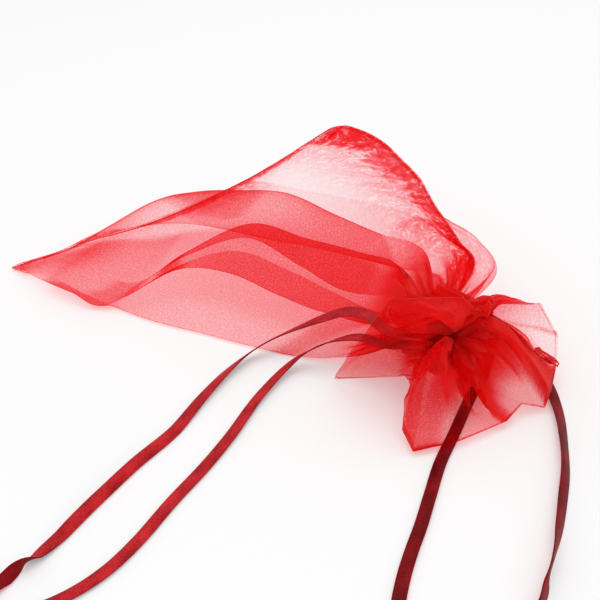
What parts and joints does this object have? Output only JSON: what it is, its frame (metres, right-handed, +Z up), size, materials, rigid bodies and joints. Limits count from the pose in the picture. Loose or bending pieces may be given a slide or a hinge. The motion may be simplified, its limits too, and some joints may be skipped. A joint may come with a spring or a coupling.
{
  "type": "drawstring pouch",
  "caption": "Sheer organza drawstring pouch lying on its side, mouth drawn shut, with a flared frill and satin ribbon tails.",
  "frame": {"origin": "middle of the bag's footprint, on the surface that it lies on", "axes": "+Z up from that surface, +X along the bag's longest side, from the bottom corner towards the mouth"},
  "size_m": [0.1378, 0.1909, 0.0357],
  "materials": {
    "organza": "sheer, fine plain weave",
    "ribbon": "satin",
    "thread": "matte"
  },
  "bodies": {
    "root": {"pouch_cloth": "organza", "bottom_seam_thread": "thread", "side_seam_thread": "thread", "casing_thread_lower": "thread", "casing_thread_upper": "thread", "left_ribbon_loop": "ribbon", "left_ribbon_upper_tail": "ribbon", "left_ribbon_lower_tail": "ribbon", "left_ribbon_knot": "ribbon", "right_ribbon_loop": "ribbon", "right_ribbon_outer_tail": "ribbon", "right_ribbon_inner_tail": "ribbon", "right_ribbon_knot": "ribbon"}
  },
  "joints": []
}
